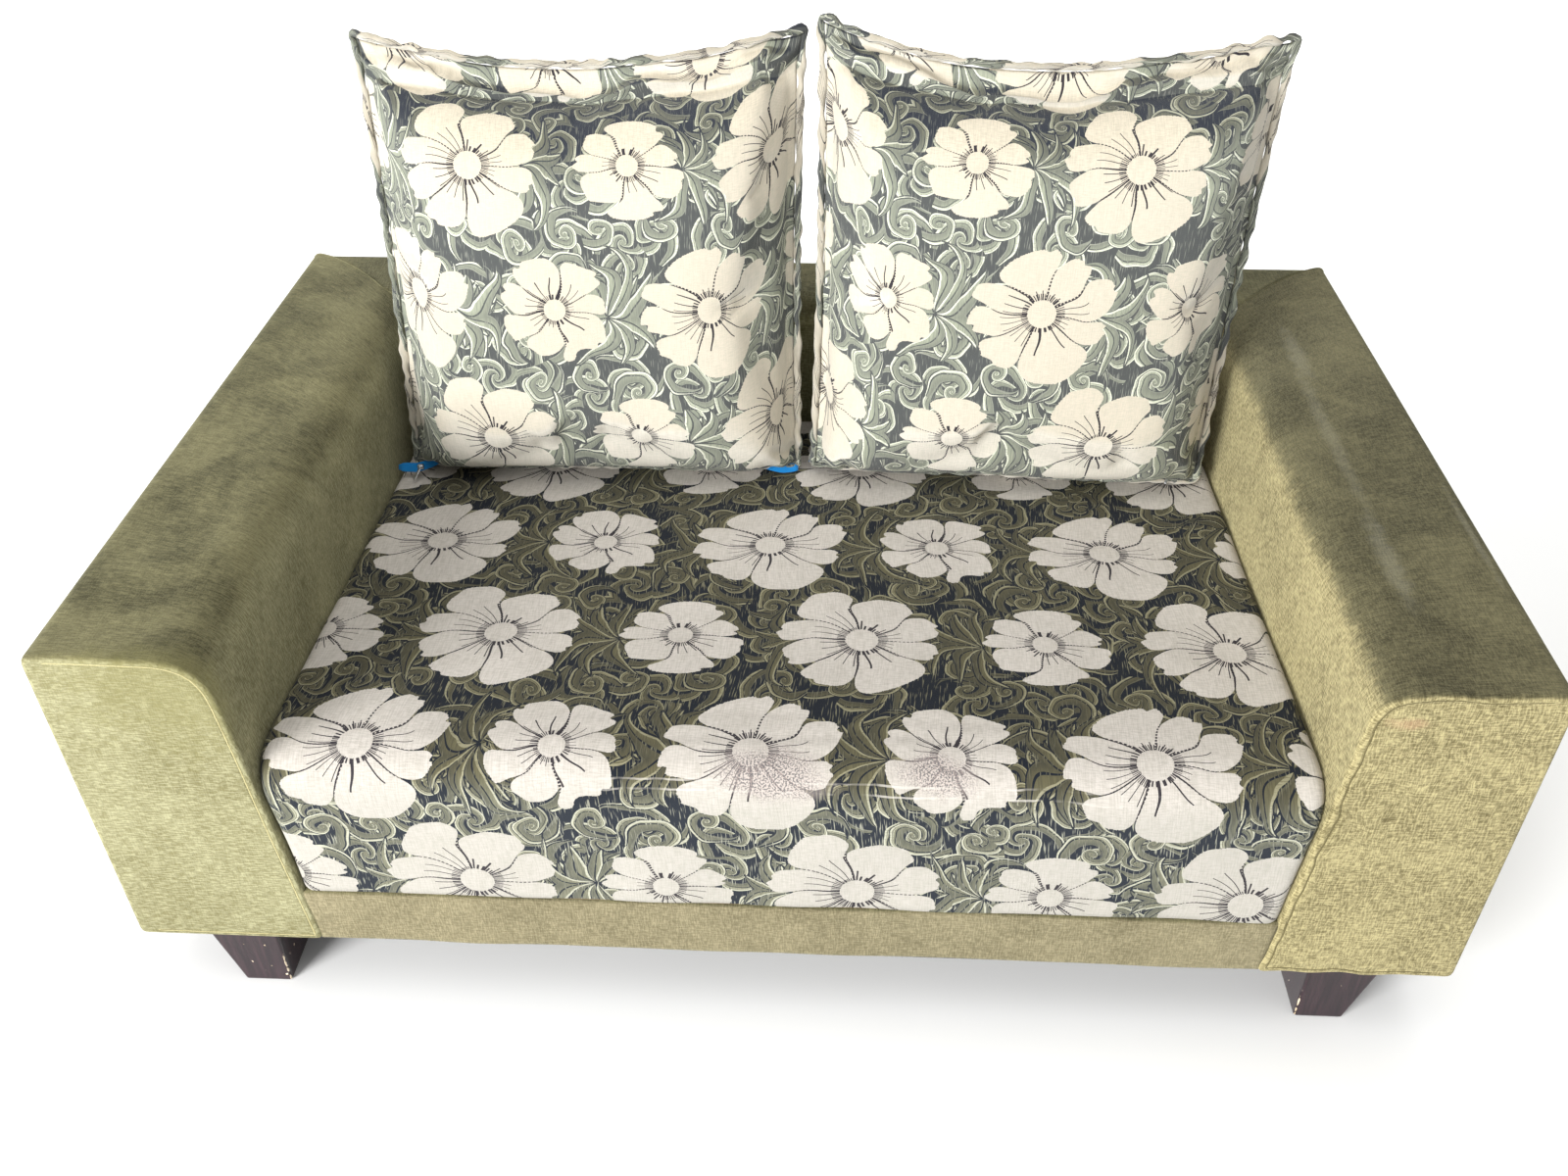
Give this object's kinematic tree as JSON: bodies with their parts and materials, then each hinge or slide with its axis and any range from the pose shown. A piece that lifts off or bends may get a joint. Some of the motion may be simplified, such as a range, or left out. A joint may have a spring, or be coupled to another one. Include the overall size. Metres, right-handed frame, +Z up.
{
  "type": "torn sofa",
  "caption": "Worn low two-seat sofa with slab arms, a floral fabric seat with loose pillow cushions on a low back, and tapered block feet.",
  "frame": {"origin": "on the floor, under the middle of the sofa's overall box", "axes": "+X towards the right arm as seen from the front, +Y from the seat's front to the back, +Z up"},
  "size_m": [1.5, 0.93, 0.9085],
  "materials": {
    "jacquard": "woven floral jacquard, cream flowers and sage scrolls on a dark blue-grey ground, worn and stained on the seat",
    "chenille": "olive chenille with a mottled nap, rubbed on the arm tops",
    "timber": "planed softwood, unfinished",
    "board": "thin brown board, unfinished",
    "foam": "open-cell foam, pale yellow",
    "fill": "loose fibre fill in an inner bag",
    "webbing": "dark elastic webbing",
    "dust_cloth": "black non-woven cloth",
    "foot": "gloss dark brown lacquer, chipped to pale wood on its edges",
    "zip_tape": "bright blue woven zip tape",
    "steel": "plain zinc-plated steel"
  },
  "bodies": {
    "root": {"seat_cover": "jacquard", "left_cushion_cover": "jacquard", "right_cushion_cover": "jacquard", "left_cushion_piping": "jacquard", "right_cushion_piping": "jacquard", "left_arm_cover": "chenille", "right_arm_cover": "chenille", "back_cover": "chenille", "front_rail_cover": "chenille", "seat_front_rail": "timber", "seat_rear_rail": "timber", "seat_left_rail": "timber", "seat_right_rail": "timber", "seat_centre_rail": "timber", "corner_block_front_left": "timber", "corner_block_front_right": "timber", "corner_block_rear_left": "timber", "corner_block_rear_right": "timber", "left_foot_bearer": "timber", "right_foot_bearer": "timber", "left_front_post": "timber", "right_front_post": "timber", "left_rear_post": "timber", "right_rear_post": "timber", "left_arm_top_rail": "timber", "right_arm_top_rail": "timber", "back_bottom_rail": "timber", "back_top_rail": "timber", "front_facing_board": "board", "left_arm_outer_board": "board", "right_arm_outer_board": "board", "left_arm_inner_board": "board", "right_arm_inner_board": "board", "left_arm_front_board": "board", "right_arm_front_board": "board", "back_rear_board": "board", "seat_foam": "foam", "left_arm_top_foam": "foam", "right_arm_top_foam": "foam", "back_foam": "foam", "back_top_foam": "foam", "left_cushion_fill": "fill", "right_cushion_fill": "fill", "seat_strap_1": "webbing", "seat_strap_2": "webbing", "seat_strap_3": "webbing", "seat_strap_4": "webbing", "dust_cover": "dust_cloth", "front_left_foot": "foot", "front_right_foot": "foot", "rear_left_foot": "foot", "rear_right_foot": "foot", "left_zip_tape": "zip_tape", "right_zip_tape": "zip_tape", "front_left_foot_bolt": "steel", "front_right_foot_bolt": "steel", "rear_left_foot_bolt": "steel", "rear_right_foot_bolt": "steel", "left_zip_slider": "steel", "right_zip_slider": "steel"}
  },
  "joints": []
}
